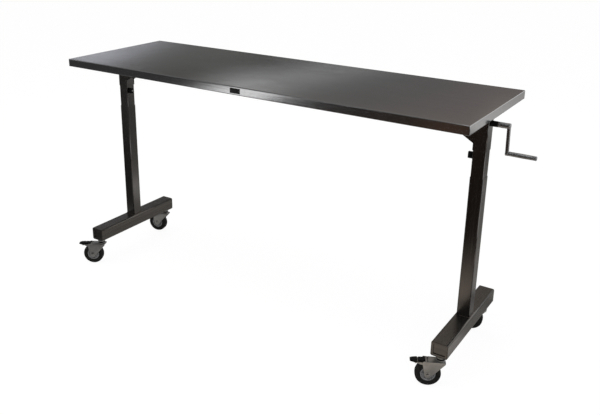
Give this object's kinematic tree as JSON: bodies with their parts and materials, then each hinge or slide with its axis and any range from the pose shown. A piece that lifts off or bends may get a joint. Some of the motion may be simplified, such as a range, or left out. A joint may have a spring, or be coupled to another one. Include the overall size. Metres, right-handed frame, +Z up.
{
  "type": "adjustable instrument table",
  "caption": "Long narrow stainless table on column legs with braked swivel casters; an end crank turns a cross shaft and lift screws to raise or lower the folded-sheet top.",
  "frame": {"origin": "on the floor, under the middle of the overall box (crank and front casters included)", "axes": "+X along the top towards the crank end, +Y from the front edge to the back, +Z up"},
  "size_m": [2.0238, 0.5913, 1.006],
  "materials": {
    "polished_sheet_steel": "smooth satin-polished stainless sheet",
    "satin_tube_steel": "satin stainless tube and folded plate",
    "plated_steel": "bright plated steel",
    "machine_steel": "oiled dark machine steel",
    "nut_bronze": "plain bronze",
    "black_plastic": "satin black",
    "grey_plastic": "matt grey",
    "tyre_rubber": "matt black"
  },
  "bodies": {
    "base": {"left_foot": "satin_tube_steel", "left_lower_column": "satin_tube_steel", "left_nut_tube": "nut_bronze", "right_foot": "satin_tube_steel", "right_lower_column": "satin_tube_steel", "right_nut_tube": "nut_bronze", "left_front_foot_cap": "satin_tube_steel", "left_rear_foot_cap": "satin_tube_steel", "right_front_foot_cap": "satin_tube_steel", "right_rear_foot_cap": "satin_tube_steel", "front_left_caster_stem": "plated_steel", "front_right_caster_stem": "plated_steel", "rear_left_caster_stem": "plated_steel", "rear_right_caster_stem": "plated_steel"},
    "top": {"table_top": "polished_sheet_steel", "nameplate": "black_plastic", "front_stiffener": "satin_tube_steel", "rear_stiffener": "satin_tube_steel", "crank_bearing": "black_plastic", "shaft_end_bearing": "black_plastic", "shaft_hanger": "satin_tube_steel", "left_cross_channel": "satin_tube_steel", "left_top_bracket": "satin_tube_steel", "left_upper_column": "satin_tube_steel", "left_travel_stop": "black_plastic", "left_screw_bearing": "machine_steel", "right_cross_channel": "satin_tube_steel", "right_top_bracket": "satin_tube_steel", "right_upper_column": "satin_tube_steel", "right_travel_stop": "black_plastic", "right_screw_bearing": "machine_steel"},
    "crank": {"crank_handle": "plated_steel", "drive_shaft": "plated_steel", "left_drive_pinion": "machine_steel", "right_drive_pinion": "machine_steel"},
    "grip": {"crank_grip": "plated_steel"},
    "left_screw": {"left_lift_screw": "machine_steel", "left_screw_gear": "machine_steel"},
    "right_screw": {"right_lift_screw": "machine_steel", "right_screw_gear": "machine_steel"},
    "front_left_caster": {"front_left_caster_fork": "plated_steel", "front_left_axle_bolt": "plated_steel"},
    "front_left_wheel": {"front_left_wheel_hub": "grey_plastic", "front_left_tyre": "tyre_rubber"},
    "front_left_brake": {"front_left_brake_pedal": "black_plastic"},
    "front_right_caster": {"front_right_caster_fork": "plated_steel", "front_right_axle_bolt": "plated_steel"},
    "front_right_wheel": {"front_right_wheel_hub": "grey_plastic", "front_right_tyre": "tyre_rubber"},
    "front_right_brake": {"front_right_brake_pedal": "black_plastic"},
    "rear_left_caster": {"rear_left_caster_fork": "plated_steel", "rear_left_axle_bolt": "plated_steel"},
    "rear_left_wheel": {"rear_left_wheel_hub": "grey_plastic", "rear_left_tyre": "tyre_rubber"},
    "rear_right_caster": {"rear_right_caster_fork": "plated_steel", "rear_right_axle_bolt": "plated_steel"},
    "rear_right_wheel": {"rear_right_wheel_hub": "grey_plastic", "rear_right_tyre": "tyre_rubber"}
  },
  "joints": [
    {"name": "lift", "type": "slide", "parent": "base", "child": "top", "axis": [0, 0, 1], "range_m": [-0.065, 0.24]},
    {"name": "crank_turn", "type": "hinge", "parent": "top", "child": "crank", "pos_m": [0.82217, 0, 0.942], "axis": [1, 0, 0], "range_deg": [-8641, 2341]},
    {"name": "grip_spin", "type": "hinge", "parent": "crank", "child": "grip", "pos_m": [0.91507, 0.0088, 0.84138], "axis": [1, 0, 0], "continuous": true},
    {"name": "left_screw_turn", "type": "hinge", "parent": "top", "child": "left_screw", "pos_m": [-0.90723, 0, 0.942], "axis": [0, 0, 1], "range_deg": [-2341, 8641]},
    {"name": "right_screw_turn", "type": "hinge", "parent": "top", "child": "right_screw", "pos_m": [0.82217, 0, 0.942], "axis": [0, 0, 1], "range_deg": [-2341, 8641]},
    {"name": "front_left_swivel", "type": "hinge", "parent": "base", "child": "front_left_caster", "pos_m": [-0.90723, -0.2265, 0.11], "axis": [0, 0, 1], "continuous": true},
    {"name": "front_left_roll", "type": "hinge", "parent": "front_left_caster", "child": "front_left_wheel", "pos_m": [-0.9444, -0.2471, 0.0475], "axis": [-0.4848, 0.8746, 0], "continuous": true},
    {"name": "front_left_pedal", "type": "hinge", "parent": "front_left_caster", "child": "front_left_brake", "pos_m": [-0.94965, -0.25001, 0.0987], "axis": [-0.4848, 0.8746, 0], "range_deg": [0, 8]},
    {"name": "front_right_swivel", "type": "hinge", "parent": "base", "child": "front_right_caster", "pos_m": [0.82217, -0.2265, 0.11], "axis": [0, 0, 1], "continuous": true},
    {"name": "front_right_roll", "type": "hinge", "parent": "front_right_caster", "child": "front_right_wheel", "pos_m": [0.78431, -0.2458, 0.0475], "axis": [-0.454, 0.891, 0], "continuous": true},
    {"name": "front_right_pedal", "type": "hinge", "parent": "front_right_caster", "child": "front_right_brake", "pos_m": [0.77896, -0.24852, 0.0987], "axis": [-0.454, 0.891, 0], "range_deg": [0, 8]},
    {"name": "rear_left_swivel", "type": "hinge", "parent": "base", "child": "rear_left_caster", "pos_m": [-0.90723, 0.2265, 0.11], "axis": [0, 0, 1], "continuous": true},
    {"name": "rear_left_roll", "type": "hinge", "parent": "rear_left_caster", "child": "rear_left_wheel", "pos_m": [-0.94847, 0.21622, 0.0475], "axis": [-0.2419, 0.9703, 0], "continuous": true},
    {"name": "rear_right_swivel", "type": "hinge", "parent": "base", "child": "rear_right_caster", "pos_m": [0.82217, 0.2265, 0.11], "axis": [0, 0, 1], "continuous": true},
    {"name": "rear_right_roll", "type": "hinge", "parent": "rear_right_caster", "child": "rear_right_wheel", "pos_m": [0.78045, 0.21839, 0.0475], "axis": [-0.1908, 0.9816, 0], "continuous": true}
  ],
  "couplings": [
    {"joint": "crank_turn", "follows": "lift", "rad_per_m": -628.32},
    {"joint": "left_screw_turn", "follows": "lift", "rad_per_m": 628.32},
    {"joint": "right_screw_turn", "follows": "lift", "rad_per_m": 628.32}
  ]
}
